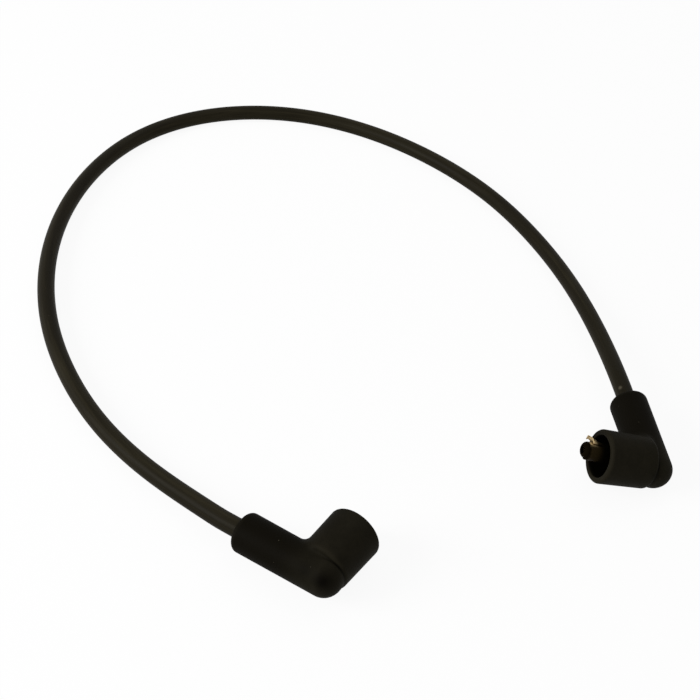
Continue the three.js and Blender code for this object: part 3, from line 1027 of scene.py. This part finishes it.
# %% Materials: insulation and conductor
def solid_place(tree):
    """Places on a CAD solid in mm, so that the shared effects keep their scale."""
    place = add(tree, "ShaderNodeTexCoord").outputs["Object"]
    in_mm = {"Vector": place, "Scale": (1000, 1000, 1000)}
    return add(tree, "ShaderNodeMapping", in_mm).outputs["Vector"]


insulation_rubber, tree = new_material("insulation_rubber")
skin = effect(tree, skin_group, {
    "Place": solid_place(tree), "Colour": linear(176, 168, 150), "Bloom Colour": linear(200, 194, 180),
    "Bloom": 0.5, "Grain Scale": 3.0, "Roughness": 0.6, "Roughness Spread": 0.15,
})
surface(
    tree,
    {"Base Color": skin["Colour"], "Roughness": skin["Roughness"]},
    skin["Height"], 0.02 * MM, 0.5,
)

core_copper, tree = new_material("core_copper")
place = solid_place(tree)
tarnished = effect(tree, tarnish_group, {
    "Place": place, "Bright Colour": linear(205, 140, 100), "Dull Colour": linear(110, 62, 40),
    "Amount": 0.7,
})
roughness = maths(tree, "ADD", maths(tree, "MULTIPLY", tarnished["Mask"], 0.2), 0.3)
surface(
    tree,
    {"Base Color": tarnished["Colour"], "Metallic": 1.0, "Roughness": roughness},
    noise(tree, place, 4.0), 0.02 * MM, 0.4,
)

for name, finish in {"cable_insulation": insulation_rubber, "conductor_core": core_copper}.items():
    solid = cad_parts[name]
    solid.data.materials.clear()
    solid.data.materials.append(finish)
    print(f"{name}: finished in {finish.name}")

# %% [markdown]
# ## White table and soft light
# The photo has a pure white ground. Pouring light on the floor until it clips would wash
# out the lead too. So the floor and the world are white by their own strength, for the
# camera and for reflections only, and a small share of the floor's true shading is mixed
# in, which keeps the lead's soft shadow. Other rays meet a plain level of light.

# %% Floor and world
FLOOR_SIDE = 6.0
SHADOW_SHARE = 0.08
WORLD_LEVEL = 0.45


def seen_directly(tree):
    """1 for rays from the camera, from a reflection or through glass."""
    path = add(tree, "ShaderNodeLightPath").outputs
    reflected = maths(tree, "MAXIMUM", path["Is Camera Ray"], path["Is Glossy Ray"])
    return maths(tree, "MAXIMUM", reflected, path["Is Transmission Ray"])


half = FLOOR_SIDE / 2
floor = mesh_object(
    "floor", [(-half, -half, 0), (half, -half, 0), (half, half, 0), (-half, half, 0)], [(0, 1, 2, 3)]
)
white_floor, tree = new_material("white_floor")
shaded = add(tree, "ShaderNodeBsdfDiffuse", {"Color": (0.9, 0.9, 0.9, 1)}).outputs[0]
white = add(tree, "ShaderNodeEmission", {"Color": (1, 1, 1, 1), "Strength": 1.0}).outputs[0]
looks = add(tree, "ShaderNodeMixShader", {0: SHADOW_SHARE, 1: white, 2: shaded}).outputs[0]
both = add(tree, "ShaderNodeMixShader", {0: seen_directly(tree), 1: shaded, 2: looks}).outputs[0]
add(tree, "ShaderNodeOutputMaterial", {"Surface": both})
floor.data.materials.append(white_floor)

world = bpy.data.worlds.new("white_room")
world.use_nodes = True
tree = world.node_tree
tree.nodes.clear()
level = add(tree, "ShaderNodeBackground", {"Color": (1, 1, 1, 1), "Strength": WORLD_LEVEL}).outputs[0]
white = add(tree, "ShaderNodeBackground", {"Color": (1, 1, 1, 1), "Strength": 1.0}).outputs[0]
both = add(tree, "ShaderNodeMixShader", {0: seen_directly(tree), 1: level, 2: white}).outputs[0]
add(tree, "ShaderNodeOutputWorld", {"Surface": both})
bpy.context.scene.world = world

# %% [markdown]
# ## Lamps
# Two softboxes, as in a small product studio. The stronger one stands at the near left
# and draws the soft light along the cable's near left side; the weaker one hangs over the
# far side. Together with the world they light a flat sheet to a little less than its own
# colour: about six sevenths of it, reckoned from the floor's brightness in the render.

# %% Softboxes
LAMP_TARGET = Vector((-0.08, 0.04, 0.0))


def softbox(name, place, side, power):
    lamp = bpy.data.lights.new(name, "AREA")
    lamp.shape = "SQUARE"
    lamp.size = side
    lamp.energy = power
    made = linked(name, lamp)
    made.location = place
    made.rotation_euler = (LAMP_TARGET - Vector(place)).to_track_quat("-Z", "Y").to_euler()
    print(f"{name}: {power} W, {side} m wide")


softbox("near_softbox", (-0.75, -0.8, 0.55), 0.6, 13.0)
softbox("far_softbox", (-0.1, 0.6, 1.0), 0.8, 2.0)

# %% [markdown]
# ## Finish
# Last, the view layer is updated.

# %% Finish
bpy.context.view_layer.update()
